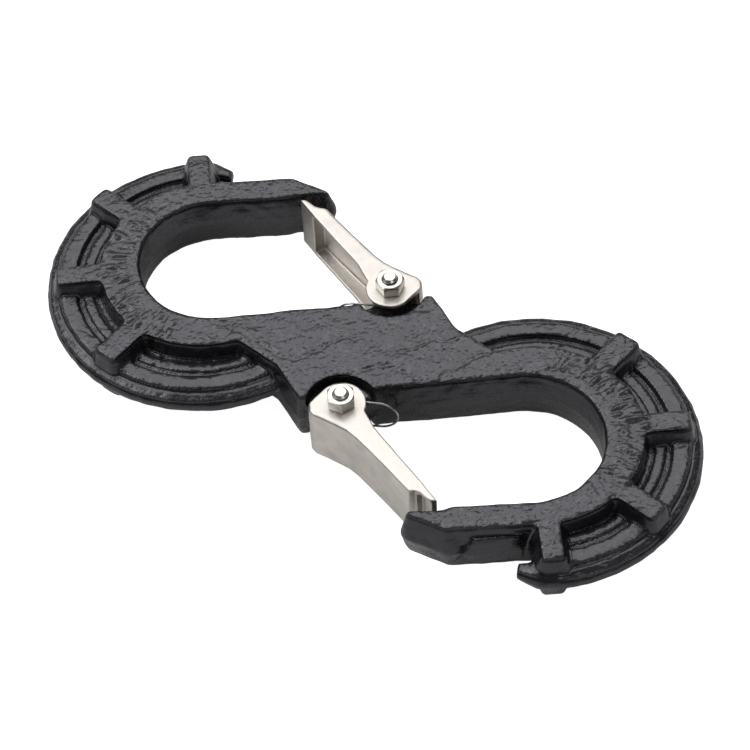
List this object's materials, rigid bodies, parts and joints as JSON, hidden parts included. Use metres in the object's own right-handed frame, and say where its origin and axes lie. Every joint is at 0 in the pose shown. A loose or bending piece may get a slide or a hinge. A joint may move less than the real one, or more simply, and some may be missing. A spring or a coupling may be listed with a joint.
{
  "type": "safety chain hook",
  "caption": "S-shaped safety chain hook with an open bowl at each end, ribbed outer rims and a sprung folded-steel gate latch closing each throat.",
  "frame": {"origin": "centre of the hook body, half way through its thickness", "axes": "+X along the beak arms, +Y across them towards the left hook's beak, +Z out of the flat face that the nuts are on"},
  "size_m": [0.2498, 0.2254, 0.0372],
  "materials": {
    "hook_paint": "semi-gloss black paint over a rough forging",
    "latch_stainless": "satin",
    "tube_steel": "satin",
    "bolt_steel": "bright zinc plate",
    "spring_steel": "bright drawn wire"
  },
  "bodies": {
    "hook": {"hook_body": "hook_paint", "left_spring": "spring_steel", "right_spring": "spring_steel"},
    "left_gate": {"left_latch": "latch_stainless", "left_spacer_tube": "tube_steel", "left_pivot_bolt": "bolt_steel", "left_nut": "bolt_steel"},
    "right_gate": {"right_latch": "latch_stainless", "right_spacer_tube": "tube_steel", "right_pivot_bolt": "bolt_steel", "right_nut": "bolt_steel"}
  },
  "joints": [
    {"name": "left_latch_hinge", "type": "hinge", "parent": "hook", "child": "left_gate", "pos_m": [0.012, 0.0273, 0], "axis": [0, 0, 1], "range_deg": [0, 58], "stiffness_Nm_per_rad": 0.1, "springref_deg": -57.3, "deforming": ["left_spring"]},
    {"name": "right_latch_hinge", "type": "hinge", "parent": "hook", "child": "right_gate", "pos_m": [-0.012, -0.0273, 0], "axis": [0, 0, 1], "range_deg": [0, 58], "stiffness_Nm_per_rad": 0.1, "springref_deg": -57.3, "deforming": ["right_spring"]}
  ]
}
